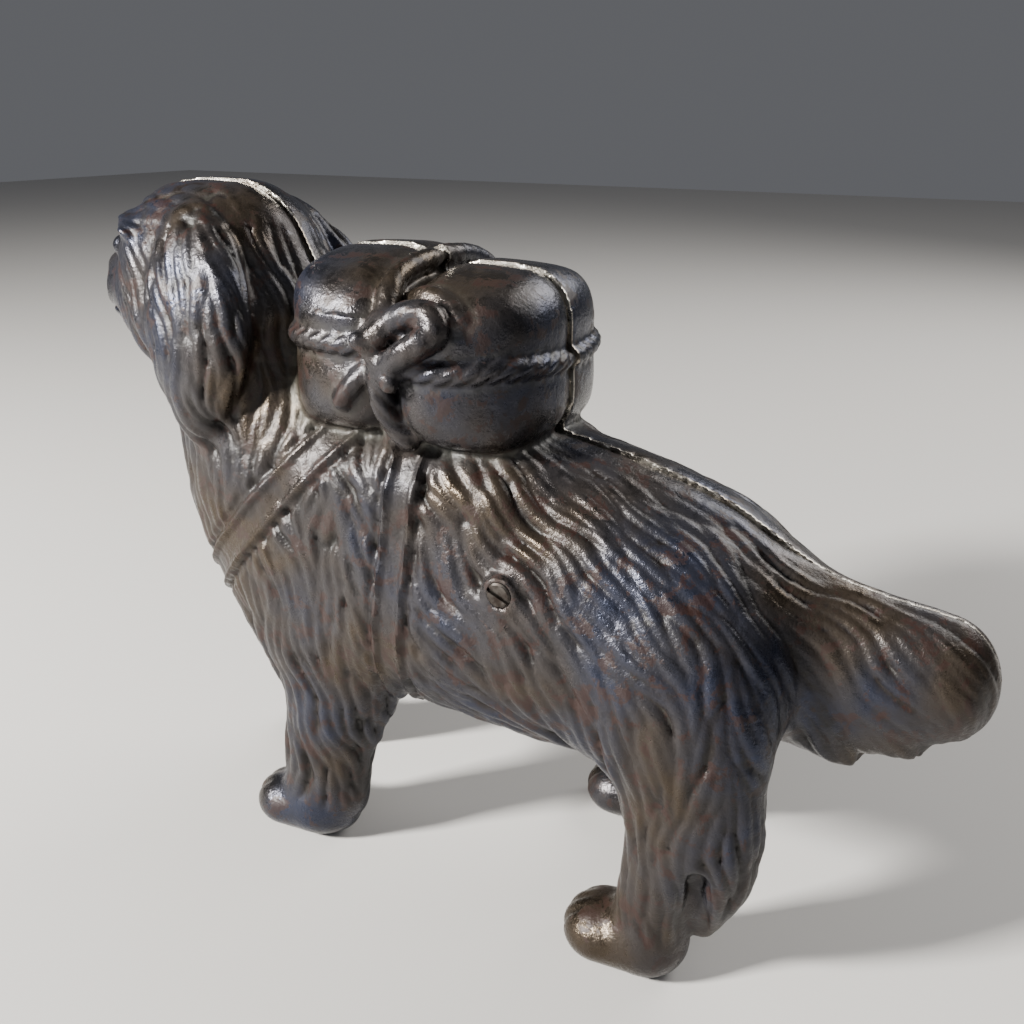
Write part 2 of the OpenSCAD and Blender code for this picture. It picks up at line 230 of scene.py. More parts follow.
def pack_distance(x, y, z):
    """Distance to the pack: rounded boxes joined together and trimmed to one outline."""
    best = None
    dome = dome_drop(x, y)
    for cx, cz, hx, hy, hz in PACK_LOBES:
        qx = np.abs(x - cx) - hx + PACK_ROUND
        qy = np.abs(y) - hy + PACK_ROUND
        qz = np.abs(z - cz + np.where(z > cz, dome, 0) * (cz > DOME_FROM)) - hz + PACK_ROUND
        outside = np.sqrt(np.maximum(qx, 0) ** 2 + np.maximum(qy, 0) ** 2 + np.maximum(qz, 0) ** 2)
        d = outside + np.minimum(np.maximum(np.maximum(qx, qy), qz), 0) - PACK_ROUND
        best = d if best is None else soft_min(best, d, PACK_BLEND)
    mid, a, b, e = PACK_PLAN
    plan = ((np.abs(x - mid) / a) ** e + (np.abs(y) / b) ** e) ** (1 / e)
    return soft_max(best, (plan - 1) * PLAN_SCALE, PACK_BLEND)


def strided(rows, walk, side):
    """Moves a right leg ahead, most at the sole and not at all at the hip."""
    if side < 0:
        return rows
    stride, hip, curve = walk
    return [(x - stride * max(0.0, 1 - z / hip) ** curve,) + (y, z) + tuple(r) for x, y, z, *r in rows]


# ---- the sculpting grid
class Grid:
    """Distance values on a box of cells. y is the distance from the mid-plane."""

    def __init__(self):
        self.low = np.array([NOSE_X - 2 * CELL, -3.5 * CELL, -3.5 * CELL])
        self.count = np.ceil((np.array([TAIL_X + 2 * CELL, HALF_WIDTH + 2.5 * CELL, HEAD_TOP + 3 * CELL])
                              - self.low) / CELL).astype(int) + 1
        self.axes = [self.low[i] + CELL * np.arange(self.count[i]) for i in range(3)]
        self.d = np.full(self.count, 30.0, np.float32)

    def part(self, low, high, margin):
        """The slices of a box with a margin, and the coordinates along them."""
        span = []
        for i in range(3):
            a = int(np.floor((low[i] - margin - self.low[i]) / CELL))
            b = int(np.ceil((high[i] + margin - self.low[i]) / CELL)) + 1
            span.append(slice(max(a, 0), min(b, self.count[i])))
        x = self.axes[0][span[0]][:, None, None].astype(np.float32)
        y = self.axes[1][span[1]][None, :, None].astype(np.float32)
        z = self.axes[2][span[2]][None, None, :].astype(np.float32)
        return tuple(span), x, y, z

    def add(self, form, k, low=None, high=None):
        """Joins a form on; k is how soft the joint is."""
        low = form.low if low is None else low
        high = form.high if high is None else high
        span, x, y, z = self.part(low, high, 6.0 + k)
        self.d[span] = soft_min(self.d[span], form(x, y, z).astype(np.float32), k)

    def carve(self, form, k):
        """Takes a form away."""
        span, x, y, z = self.part(form.low, form.high, 4.0 + k)
        self.d[span] = soft_max(self.d[span], -form(x, y, z).astype(np.float32), k)


def sample(volume, low, cell, p, wrap=False):
    """Trilinear reading of a volume at points."""
    q = (p - low) / cell
    i = np.floor(q).astype(int)
    f = (q - i).astype(np.float32)
    n = np.array(volume.shape[:3])
    i0 = i % n if wrap else np.clip(i, 0, n - 1)
    i1 = (i + 1) % n if wrap else np.clip(i + 1, 0, n - 1)
    out = 0
    for a in (0, 1):
        wx, ix = (f[:, 0], i1[:, 0]) if a else (1 - f[:, 0], i0[:, 0])
        for b in (0, 1):
            wy, iy = (f[:, 1], i1[:, 1]) if b else (1 - f[:, 1], i0[:, 1])
            for c in (0, 1):
                wz, iz = (f[:, 2], i1[:, 2]) if c else (1 - f[:, 2], i0[:, 2])
                out = out + wx * wy * wz * volume[ix, iy, iz]
    return out


def slope(volume, low, p, e=0.5):
    """Unit gradient of a distance volume at points."""
    return unit(change_of(lambda *q: sample(volume, low, CELL, np.stack(q, 1)), p, e))


def change_of(form, p, e):
    """How much a form changes over twice e along each axis, at points."""
    return np.stack([form(*(p + step).T) - form(*(p - step).T) for step in np.eye(3) * e], 1)


CORNERS = [(a, b, c) for a in (0, 1) for b in (0, 1) for c in (0, 1)]
EDGES = [(i, j) for i in range(8) for j in range(i + 1, 8)
         if sum(abs(a - b) for a, b in zip(CORNERS[i], CORNERS[j])) == 1]


def surface_nets(grid):
    """Quads through the zero level: one vertex in each cell that it crosses."""
    d = grid.d
    inside = d < 0
    n = [s - 1 for s in d.shape]
    total = np.zeros(n, np.int8)
    for a, b, c in CORNERS:
        total += inside[a:a + n[0], b:b + n[1], c:c + n[2]]
    cells = np.argwhere((total > 0) & (total < 8))
    values = np.stack([d[cells[:, 0] + a, cells[:, 1] + b, cells[:, 2] + c] for a, b, c in CORNERS], 1)
    place = np.zeros((len(cells), 3))
    weight = np.zeros(len(cells))
    for i, j in EDGES:
        va, vb = values[:, i], values[:, j]
        cut = (va < 0) != (vb < 0)
        t = np.where(cut, va / np.where(cut, va - vb, 1), 0)
        at = np.array(CORNERS[i]) + t[:, None] * (np.array(CORNERS[j]) - np.array(CORNERS[i]))
        place += np.where(cut[:, None], at, 0)
        weight += cut
    verts = grid.low + CELL * (cells + place / weight[:, None])
    index = np.full(n, -1, np.int32)
    index[tuple(cells.T)] = np.arange(len(cells))
    quads = []
    for axis in range(3):
        u, v = (axis + 1) % 3, (axis + 2) % 3
        lo, hi = [slice(None)] * 3, [slice(None)] * 3
        lo[axis], hi[axis] = slice(0, -1), slice(1, None)
        for s in (lo, hi):
            s[u], s[v] = slice(1, -1), slice(1, -1)
        a, b = inside[tuple(lo)], inside[tuple(hi)]
        at = np.argwhere(a != b)
        base = at.copy()
        base[:, [u, v]] += 1
        down_u, down_v = -np.eye(3, dtype=int)[[u, v]]
        quad = np.stack([index[tuple((base + o).T)] for o in (down_u + down_v, down_v, 0, down_u)], 1)
        flip = ~a[tuple(at.T)]
        quad[flip] = quad[flip][:, ::-1]
        quads.append(quad)
    return verts, np.vstack(quads)


def vertex_normals(verts, quads):
    """Area-weighted normals."""
    face = np.cross(verts[quads[:, 2]] - verts[quads[:, 0]], verts[quads[:, 3]] - verts[quads[:, 1]])
    total = np.zeros_like(verts)
    for k in range(4):
        for c in range(3):
            total[:, c] += np.bincount(quads[:, k], face[:, c], len(verts))
    return unit(total)


def relaxed(verts, quads, fixed, rounds=2, amount=0.5):
    """Laplacian smoothing that leaves the fixed vertices alone."""
    for _ in range(rounds):
        total, count = np.zeros_like(verts), np.zeros(len(verts))
        for a, b in ((0, 1), (1, 2), (2, 3), (3, 0)):
            for i, j in ((a, b), (b, a)):
                for c in range(3):
                    total[:, c] += np.bincount(quads[:, i], verts[quads[:, j], c], len(verts))
                count += np.bincount(quads[:, i], minlength=len(verts))
        mean = total / np.maximum(count, 1)[:, None]
        verts = np.where(fixed[:, None], verts, verts + amount * (mean - verts))
    return verts


# ---- the lie of the coat
# x, z and the direction that the hair runs there.
LIE = [(-80, 132, 0.7, -0.3), (-70, 138, 1, -0.1), (-58, 138, 1, -0.5), (-46, 130, 0.6, -0.8),
       (-62, 128, 0.3, -1), (-64, 116, 0.15, -1), (-54, 114, 0.1, -1), (-52, 100, 0, -1),
       (-42, 114, 0.25, -1), (-38, 100, 0.15, -1), (-74, 98, 0.25, -1), (-68, 80, 0.1, -1),
       (-60, 60, 0.3, -1), (-50, 44, 0.35, -1), (-36, 80, 0.1, -1), (-32, 60, 0.1, -1),
       (-30, 40, 0.15, -1), (-29, 25, 0, -1), (-31, 12, -0.1, -1), (-21, 30, 0.5, -1),
       (-12, 82, 0.35, -1), (-12, 60, 0.45, -0.9), (6, 86, 0.5, -0.9), (16, 72, 0.6, -0.8),
       (8, 52, 0.75, -0.65), (26, 92, 0.9, -0.4), (30, 82, 0.75, -0.7), (42, 80, 0.65, -0.75),
       (52, 80, 0.7, -0.7), (62, 76, 0.8, -0.5), (30, 56, 0.6, -0.8), (45, 64, 0.4, -0.9),
       (56, 60, 0.25, -1), (48, 48, 0.2, -1), (52, 34, 0.1, -1), (54, 20, 0, -1), (60, 24, -0.1, -1),
       (72, 72, 0.85, -0.4), (70, 60, 0.6, -0.8), (72, 50, 0.45, -0.9), (82, 64, 0.75, -0.55),
       (82, 53, 0.5, -0.8), (92, 64, 0.8, -0.5)]
LIE_REACH = 9.0
LIE_CELL = 2.0
SWAY, SWAY_WAVE = 0.27, 19.0       # how far the strands wander, in radians, and over what length
# Locks: length, half width and depth.
LOCK_EAR, LOCK_CROWN = (17, 1.95, 1.9), (10, 1.7, 0.8)
LOCK_TAIL, LOCK_BODY = (24, 1.8, 1.4), (18, 1.9, 1.95)
LOCK_STEPS = 8                     # steps each way from the root
LOCK_FLOOR = 0.18                  # height of the gaps between the locks
SEED_ALONG, SEED_ACROSS = 8.0, 2.3
SEED_TRIES = 26000
BIN = 5.0                          # side of the bins that the search for near points uses


def band_noise(seed, wavelength, width=0.3, n=64, cell=0.95):
    """Periodic 3-D noise that holds wavelengths near one value."""
    rng = np.random.default_rng(seed)
    f = np.fft.fftfreq(n, cell)
    k = np.sqrt(f[:, None, None] ** 2 + f[None, :, None] ** 2 + f[None, None, :] ** 2)
    keep = np.exp(-0.5 * ((k * wavelength - 1) / width) ** 2)
    field = np.fft.ifftn(np.fft.fftn(rng.standard_normal((n, n, n))) * keep).real
    return (field / field.std()).astype(np.float32), cell


def lie_at(p):
    """Direction of the hair at points, blended from the arrows of the lie."""
    total = np.zeros((len(p), 2))
    weight = np.zeros(len(p)) + 1e-9
    for x, z, dx, dz in LIE:
        w = np.exp(-((p[:, 0] - x) ** 2 + (p[:, 2] - z) ** 2) / (2 * LIE_REACH ** 2)) + 1e-8
        total += w[:, None] * (np.array([dx, dz]) / math.hypot(dx, dz))
        weight += w
    return total / weight[:, None]


class Coat:
    """The direction of the hair everywhere, with a gentle sway."""

    def __init__(self):
        self.low = np.array([NOSE_X - 6, 0, -6.0])
        xs = np.arange(self.low[0], TAIL_X + 6, LIE_CELL)
        zs = np.arange(self.low[2], HEAD_TOP + 6, LIE_CELL)
        points = np.stack([g.ravel() for g in np.meshgrid(xs, [0.0], zs, indexing="ij")], 1)
        self.map = lie_at(points).reshape(len(xs), 1, len(zs), 2)
        self.sway = band_noise(11, SWAY_WAVE, cell=1.9)

    def along(self, p, normal):
        """Unit direction of the hair at points of the skin."""
        flat = p * [1, 0, 1]
        dx = sample(self.map[..., 0], self.low, LIE_CELL, flat)
        dz = sample(self.map[..., 1], self.low, LIE_CELL, flat)
        turn = SWAY * sample(self.sway[0], 0, self.sway[1], p, wrap=True)
        c, s = np.cos(turn), np.sin(turn)
        d = np.stack([dx * c - dz * s, np.zeros(len(p)), dx * s + dz * c], 1)
        return unit(d - (d * normal).sum(1, keepdims=True) * normal)


def lock_style(p):
    """Length, half width and depth of the locks at points."""
    style = np.tile(np.array(LOCK_BODY, float), (len(p), 1))
    style[(p[:, 0] > 64) & (p[:, 2] > 40)] = LOCK_TAIL
    style[p[:, 2] > 132] = LOCK_CROWN
    style[(p[:, 1] > 17.5) & (p[:, 2] > 88) & (p[:, 0] < -35)] = LOCK_EAR
    return style


def scatter_roots(p, along, seed):
    """Picks points so that none is too near another along or across the hair."""
    rng = np.random.default_rng(seed)
    order = rng.permutation(len(p))[:SEED_TRIES]
    kept = np.empty((len(order), 3))
    count = 0
    chosen = []
    for i in order:
        delta = kept[:count] - p[i]
        run = delta @ along[i]
        across = np.maximum((delta * delta).sum(1) - run * run, 0)
        if not ((run / SEED_ALONG) ** 2 + across / SEED_ACROSS ** 2 < 1).any():
            kept[count] = p[i]
            count += 1
            chosen.append(i)
    return np.array(chosen), rng


def lock_paths(coat, grid, roots, length):
    """Runs each lock both ways from its root along the hair, staying on the skin."""
    ways = []
    for way in (-1, 1):
        q = roots.copy()
        line = []
        for _ in range(LOCK_STEPS):
            normal = slope(grid.skin, grid.low, q)
            q = q + way * (length / (2 * LOCK_STEPS))[:, None] * coat.along(q, normal)
            q = q - sample(grid.skin, grid.low, CELL, q)[:, None] * slope(grid.skin, grid.low, q)
            line.append(q.copy())
        ways.append(line)
    return np.stack(ways[0][::-1] + [roots] + ways[1], 1)


def bins_of(p):
    """Indices of the points in each square bin of the side view."""
    cells = np.floor(p[:, [0, 2]] / BIN).astype(int)
    order = np.lexsort((cells[:, 1], cells[:, 0]))
    cuts = np.flatnonzero(np.diff(cells[order], axis=0).any(axis=1)) + 1
    return {tuple(cells[group[0]]): group for group in np.split(order, cuts)}


def points_by(path, reach, points, cells):
    """Indices of the points in the box round a path."""
    low = np.floor((path[:, [0, 2]].min(0) - reach) / BIN).astype(int)
    high = np.floor((path[:, [0, 2]].max(0) + reach) / BIN).astype(int)
    near = [cells[(i, k)] for i in range(low[0], high[0] + 1) for k in range(low[1], high[1] + 1)
            if (i, k) in cells]
    if not near:
        return np.array([], int)
    ids = np.concatenate(near)
    v = points[ids]
    return ids[((v > path.min(0) - reach) & (v < path.max(0) + reach)).all(1)]


def lock_height(path, width, top, v):
    """Height of one lock at points: full on its middle line, thin and low at both ends."""
    a, b = path[:-1], path[1:]
    ab = b - a
    t = np.clip(((v[:, None] - a) * ab).sum(2) / np.maximum((ab * ab).sum(1), 1e-9), 0, 1)
    d = np.linalg.norm(v[:, None] - (a + t[..., None] * ab), axis=2)
    k = d.argmin(1)
    rows = np.arange(len(v))
    s = (k + t[rows, k]) / len(ab)
    taper = np.clip(np.sin(math.pi * s ** 0.8), 0, 1) ** 0.55
    across = np.clip(1 - (d[rows, k] / (width * (0.3 + 0.7 * taper))) ** 2, 0, 1) ** 0.58
    return top * across * taper ** 0.6


def comb(coat, grid, p, normal, bare, seed):
    """Height of the overlapping locks at each vertex: 1 on a crest, 0 in the deepest groove."""
    height = np.zeros(len(p))
    on_coat = np.flatnonzero(bare > 0.02)
    points = p[on_coat]
    picked, rng = scatter_roots(points, coat.along(points, normal[on_coat]), seed)
    roots = points[picked]
    style = lock_style(roots)
    length = style[:, 0] * rng.uniform(0.75, 1.25, len(roots))
    width = style[:, 1] * rng.uniform(0.85, 1.3, len(roots))
    crest = rng.uniform(0.78, 1.0, len(roots))
    paths = lock_paths(coat, grid, roots, length)
    cells = bins_of(points)
    best = np.zeros(len(points))
    for path, reach, top in zip(paths, width, crest):
        ids = points_by(path, reach, points, cells)
        best[ids] = np.maximum(best[ids], lock_height(path, reach, top, points[ids]))
    height[on_coat] = np.maximum(best, LOCK_FLOOR)
    return height


# ---- ropes
def projected(path, form, lift):
    """Moves path points on to a form, lift above its skin."""
    p = np.array(path, float)
    e = 0.3
    for _ in range(8):
        d = form(*p.T)
        g = change_of(form, p, e) / (2 * e)
        p -= ((d - lift) / np.maximum((g * g).sum(1), 0.05))[:, None] * g
    return p


# Points along each rope; it is then moved on to the skin of the pack.
GIRTH_ROPE = [(-37, -3, 113.6), (-37, 0, 113.6), (-35.4, 9, 113.6), (-30.6, 18, 113.6),
              (-23.7, 22, 113.8), (-17.9, 23.1, 113.9), (-13.8, 23.3, 114), (-10.8, 23.2, 113.2),
              (-7.4, 22.6, 111.2), (-2, 23, 110.9), (2.6, 23.2, 110.6), (8.1, 21.6, 110.8),
              (12.8, 18.4, 111.3), (16.3, 13.1, 111.2), (18, 1.5, 110.6), (18, -3, 110.6)]
TOP_ROPE = [(-9.2, -3, 127.6), (-9.2, 0, 127.6), (-9.2, 7, 127.4), (-9.4, 13, 126.4), (-9, 17.5, 124.6),
            (-8.4, 20.2, 122.6), (-8.1, 21.8, 120.6), (-8.6, 23.4, 117.8), (-9.8, 24.2, 115.8)]
DOWN_ROPE = [(-8.6, 24, 110), (-8.2, 24.2, 107.7), (-7.7, 24.2, 104.3), (-6.6, 23, 99.4), (-5, 22, 96)]
LOOP_ROPE = [(-8.6, 24.6, 115.6), (-6.2, 23.4, 118.6), (-2.2, 22.8, 120.2), (1.9, 23, 120.5),
             (3.5, 23.8, 118.9), (3.2, 24.4, 117.4), (-0.1, 25.6, 115.1), (-4.4, 25, 112.2),
             (-7.5, 23.8, 110)]
CROSS_ROPE = [(-11.2, 25.6, 115.6), (-9, 24.8, 113.4), (-7, 24.5, 110.7), (-4.2, 25.2, 108.4)]
BACK_ROPE = [(-6, 16, 121.8), (-0.5, 17.5, 122.6), (4, 19.2, 121.7), (6.8, 20.4, 119.6)]
SHORT_ROPE = [(-11.1, 23.2, 110), (-13.7, 24.3, 106.9), (-16.4, 24.1, 103.7)]
# path, how far it stands off the pack, radius, depth of the twist; the bow is on the left side only
ROPES = [(GIRTH_ROPE, -0.2, 1.95, 0.34), (TOP_ROPE, 0.9, 2.2, 0.12), (DOWN_ROPE, 1.7, 2.3, 0.36),
         (CROSS_ROPE, 2.5, 1.8, 0.2)]
BOW_ROPES = [(LOOP_ROPE, 1.5, 2.6, 0.14), (BACK_ROPE, -0.6, 1.6, 0.0), (SHORT_ROPE, 0.0, 1.9, 0.1)]
TWIST_PITCH, TWIST_LINE, TWIST_LEAN = 3.2, 0.55, 1.1


class Rope:
    """Twisted cord along a path."""

    def __init__(self, path, r, depth):
        self.path, self.r, self.depth = path, r, depth
        self.low, self.high = path.min(0) - r, path.max(0) + r
        step = np.linalg.norm(np.diff(path, axis=0), axis=1)
        self.s = np.concatenate([[0], np.cumsum(step)])

    def nearest(self, x, y, z):
        """Distance to the path, length along it and the segment."""
        shape = np.broadcast(x, y, z).shape
        best = np.full(shape, 1e9, np.float32)
        along = np.zeros(shape, np.float32)
        which = np.zeros(shape, np.int32)
        for k, (a, b, s) in enumerate(zip(self.path[:-1], self.path[1:], self.s)):
            ab = b - a
            length = np.linalg.norm(ab) + 1e-9
            t = np.clip(((x - a[0]) * ab[0] + (y - a[1]) * ab[1] + (z - a[2]) * ab[2]) / length ** 2, 0, 1)
            d = np.sqrt((x - a[0] - t * ab[0]) ** 2 + (y - a[1] - t * ab[1]) ** 2
                        + (z - a[2] - t * ab[2]) ** 2)
            closer = d < best
            best = np.where(closer, d, best)
            along = np.where(closer, s + t * length, along)
            which = np.where(closer, k, which)
        return best, along, which

    def __call__(self, x, y, z):
        return self.nearest(x, y, z)[0] - self.r

    def twist(self, p, normal):
        """Depth of the strand grooves at points, and how much each point is on the rope."""
        d, along, which = self.nearest(*p.T)
        on_rope = np.clip(1.4 - np.abs(d - self.r) / 0.6, 0, 1)
        ahead = unit(np.diff(self.path, axis=0)[which])
        at = self.path[which] + (along - self.s[which])[:, None] * ahead
        outward = unit(change_of(pack_distance, at, 0.4))
        beside = np.cross(ahead, outward)
        off = p - at
        turn = np.arctan2((off * beside).sum(1), (off * outward).sum(1))
        phase = (along - TWIST_LEAN * self.r * turn) / TWIST_PITCH
        line = np.abs(phase - np.round(phase)) * TWIST_PITCH
        return self.depth * on_rope * np.exp(-(line / TWIST_LINE) ** 2), on_rope


def pack_ropes(side):
    """The ropes of one half."""
    return [Rope(projected(spline_rows(rows, 4), pack_distance, lift), r, depth)
            for rows, lift, r, depth in ROPES + (BOW_ROPES if side < 0 else [])]


# ---- one half
def sculpt(side):
    """Distance field of one half; side is -1 for the left one."""
    grid = Grid()
    grid.add(Swept(TORSO), 1)
    for form, k in ((BELLY, 9), (NECK, 9), (RUFF, 8), (SKULL, 8), (TAIL, 7)):
        grid.add(Swept(form), k)
    core = grid.d.copy()              # the hollow follows this plain body
    for form, k in ((SADDLE, 5), (CHEEK, 5), (MUZZLE, 5), (JAW, 3), (NOSE, 1.5), (BROW, 2)):
        grid.add(Swept(form), k)
    for form, k in FACE_CUTS:
        grid.carve(Swept(form, 6), k)
    grid.add(Swept([EYE + (EYE_R,) * 3]), 0.3)
    grid.add(Swept(EAR, 8), 1.6)
    for leg, paw, walk in ((FRONT_LEG, FRONT_PAW, FRONT_WALK), (REAR_LEG, REAR_PAW, REAR_WALK)):
        grid.add(Swept(strided(leg, walk, side)), 7)
        grid.add(Swept(strided(paw, walk, side)), 2.5)
    grid.add(Swept(strided(HOCK, REAR_WALK, side)), 3.5)
    grid.carve(Swept(strided(HOCK_HOLLOW, REAR_WALK, side)), 2.5)
    for x, y, z, *rest in TUFTS:
        limb = (FRONT_WALK if x < 0 else REAR_WALK) if y > 15.5 and z < 53 else (0, 1, 1)
        (x, y, z), = strided([(x, y, z)], limb, side)
        grid.add(tuft(x, y, z, *rest), 2.6)
    grid.add(pack_distance, 2.0, *PACK_BOX)
    grid.add(Swept(PACK_FOOT), 2)
    ropes = pack_ropes(side)
    for rope in ropes:
        grid.add(rope, 0.8)
    span, x, y, z = grid.part(*PACK_BOX, 8)
    core[span] = soft_min(core[span], pack_distance(x, y, z).astype(np.float32), 8)
    grid.skin = grid.d.copy()
    hollow(grid, core, side)
    return grid, ropes


def cylinder(x, z, cx, cz, r):
    """Distance to an endless round bar along Y."""
    return np.sqrt((x - cx) ** 2 + (z - cz) ** 2) - r


def cavity_of(core, x, y, z):
    """The hollow: the body's core less a wall, with the passage, round the screw boss and the pin pads."""
    (cx, cz), half = PASSAGE
    q = [np.abs(v) - h + PASSAGE_ROUND for v, h in zip((x - cx, y, z - cz), half)]
    passage = np.sqrt(sum(np.maximum(v, 0) ** 2 for v in q)) - PASSAGE_ROUND
    cavity = np.minimum(core + WALL, passage)
    cavity = np.maximum(cavity, -np.maximum(cylinder(x, z, SCREW_X, SCREW_Z, BOSS_R), BOSS_IN_Y - y))
    for px, pz in PINS:
        cavity = np.maximum(cavity, -np.maximum(cylinder(x, z, px, pz, PAD_R), y - PAD_DEPTH))
    return cavity


def left_outside(outer, x, y, z):
    """The left half's outside: the flush end of the screw, and lower than the right half at the seam."""
    end = cylinder(x, z, SCREW_X, SCREW_Z, END_R)
    outer = np.minimum(outer, np.maximum(end, np.abs(y - TIP_Y + END_HALF) - END_HALF))
    outer = np.maximum(outer, -np.maximum(end - END_RIM, TIP_Y - y))
    upper = smooth_step(z, *SEAM_RISE) * (1 - smooth_step(x, *SEAM_END))
    return outer + upper * SEAM_STEP * np.clip(1 - y / SEAM_REACH, 0, 1) ** SEAM_CURVE


def right_openings(d, x, y, z):
    """The right half's head seat, coin slot and pin sockets."""
    seat = np.maximum(cylinder(x, z, SCREW_X, SCREW_Z, SEAT_R), SEAT_Y - y)
    d = np.maximum(d, -seat)
    slot = np.maximum(np.abs(x - COIN_X) - COIN_HALF, np.abs(z - COIN_Z) - COIN_GAP)
    d = np.maximum(d, -np.maximum(slot, COIN_IN_Y - y))
    for px, pz in PINS:
        d = np.maximum(d, -np.maximum(cylinder(x, z, px, pz, SOCKET_R), y - PIN_REACH - 0.5))
    return d


def hollow(grid, core, side):
    """Cuts the grid's solid on the mid-plane and the ground, and hollows it."""
    x, y, z = (grid.axes[0][:, None, None], grid.axes[1][None, :, None], grid.axes[2][None, None, :])
    outer = left_outside(grid.d, x, y, z) if side < 0 else grid.d
    d = np.maximum(outer, -cavity_of(core, x, y, z))
    d = np.maximum(d, -cylinder(x, z, SCREW_X, SCREW_Z, BORE_R))
    if side > 0:
        d = right_openings(d, x, y, z)
    d = np.maximum(d, -z)
    grid.d = np.maximum(d, -y).astype(np.float32)


def mask_of(form, p, reach):
    """1 on a form's own skin, falling to 0 away from it."""
    return np.clip(1 - form(*p.T) / reach, 0, 1)


def strap_relief(p):
    """How much each point is on a strap, and the height of the strap's raised borders there."""
    on = np.zeros(len(p))
    rise = np.zeros(len(p))
    for (ax, az), (bx, bz), low, high in STRAPS:
        n = math.hypot(bx - ax, bz - az)
        d = np.abs(((p[:, 0] - ax) * (bz - az) - (p[:, 2] - az) * (bx - ax)) / n)
        reach = smooth_step(p[:, 2], low - 2, low + 2) * (1 - smooth_step(p[:, 2], high, high + 1.5))
        mask = (1 - smooth_step(d, STRAP_HALF, STRAP_HALF + 0.8)) * reach
        border = np.exp(-((d - (STRAP_HALF - 0.75)) / 0.62) ** 2)
        edge = np.exp(-((d - (STRAP_HALF + 1.1)) / 0.6) ** 2) * reach
        rise = np.where(mask > on, 0.85 * border - 0.45, rise) - 0.5 * edge * (1 - on)
        on = np.maximum(on, mask)
    return on, rise


def coat_mask(p, side, outer, smooth_parts):
    """Where the hair is carved: not on the pack, ropes, paws, face, seam or screw."""
    bare = outer * (1 - smooth_parts)
    top = smooth_step(p[:, 2], 120, 134) + smooth_step(p[:, 0], 8, 24) * smooth_step(p[:, 2], 78, 84)
    bare *= smooth_step(p[:, 1], 0.8 + 1.6 * top, 3 + 6.5 * top)
    bare *= smooth_step(p[:, 2], 8, 15)
    rim = (3.4, 5.0) if side < 0 else (6.2, 7.8)
    return bare * smooth_step(cylinder(p[:, 0], p[:, 2], SCREW_X, SCREW_Z, 0), *rim)


TOE_SPREAD, TOE_DEPTH = 3.4, 0.55


def toe_grooves(p, side):
    """Three shallow grooves between the toes of each paw."""
    depth = np.zeros(len(p))
    for paw, walk in PAWS:
        x, y, z = strided(paw, walk, side)[-1][:3]
        front = smooth_step(x - 1.5 - p[:, 0], 0, 4) * (p[:, 0] > x - 14) * (p[:, 2] < 14)
        front = front * (np.abs(p[:, 1] - y) < 10)
        for offset in (-TOE_SPREAD, 0, TOE_SPREAD):
            depth = np.maximum(depth, front * np.exp(-((p[:, 1] - y - offset) / 0.6) ** 2))
    return depth * TOE_DEPTH


AT_PLANE, RIM_REACH = 0.45 * CELL, 0.7 * CELL       # how near a vertex is to count as on a plane or a rim
BY_SEAM = 0.3


def snapped_holes(verts, side):
    """Brings the rims of the screw hole, the head seat and the coin slot to their exact place."""
    away = verts[:, [0, 2]] - [SCREW_X, SCREW_Z]
    r = np.linalg.norm(away, axis=1)
    for radius, inner_y in ((BORE_R, 0.0), (SEAT_R, SEAT_Y - 0.3)):
        if side < 0 and radius > BORE_R:
            continue
        near = (np.abs(r - radius) < RIM_REACH) & (verts[:, 1] > inner_y)
        verts[near, 0] = SCREW_X + away[near, 0] / r[near] * radius
        verts[near, 2] = SCREW_Z + away[near, 1] / r[near] * radius
    if side > 0:
        off = verts[:, [0, 2]] - [COIN_X, COIN_Z]
        half = np.array([COIN_HALF, COIN_GAP])
        gap = np.abs(off) - half
        for axis, other in ((0, 1), (1, 0)):
            near = (np.abs(gap[:, axis]) < RIM_REACH) & (gap[:, other] < 0.5 * CELL)
            near &= verts[:, 1] > COIN_IN_Y
            verts[near, 2 * axis] = (COIN_X, COIN_Z)[axis] + np.sign(off[near, axis]) * half[axis]
    return verts


def dust_beside(verts, outer, on_pack, on_rope, ropes):
    """Where dust stays: in the corner between pack and coat and along the ropes."""
    under = np.exp(-(pack_distance(*verts.T) / 2.2) ** 2) * (1 - on_pack) * (1 - on_rope)
    beside = np.zeros(len(verts))
    near = np.flatnonzero(on_pack > 0.3)
    for rope in ropes:
        d = rope(*verts[near].T)
        beside[near] = np.maximum(beside[near], np.exp(-((d - 0.9) / 0.6) ** 2))
    return outer * np.clip(under + 0.3 * beside * (1 - on_rope) ** 2, 0, 1)


def half_surface(grid, side):
    """Meshes one half, with its flat faces and holes in their exact place."""
    verts, quads = surface_nets(grid)
    flat = (np.abs(verts[:, 1]) < AT_PLANE) | (np.abs(verts[:, 2]) < AT_PLANE)
    verts = relaxed(verts, quads, flat)
    for axis in (1, 2):
        verts[np.abs(verts[:, axis]) < AT_PLANE, axis] = 0
    return snapped_holes(verts, side), quads, flat


def rope_grooves(verts, normal, outer, ropes):
    """Depth of the ropes' twist at each vertex, and how much the vertex is on a rope."""
    grooves, on_rope = np.zeros(len(verts)), np.zeros(len(verts))
    for rope in ropes:
        near = np.flatnonzero(((verts > rope.low - 1) & (verts < rope.high + 1)).all(1) & (outer > 0.5))
        groove, on = rope.twist(verts[near], normal[near])
        grooves[near] = np.where(on > on_rope[near], groove, grooves[near])
        on_rope[near] = np.maximum(on_rope[near], on)
    return grooves, on_rope


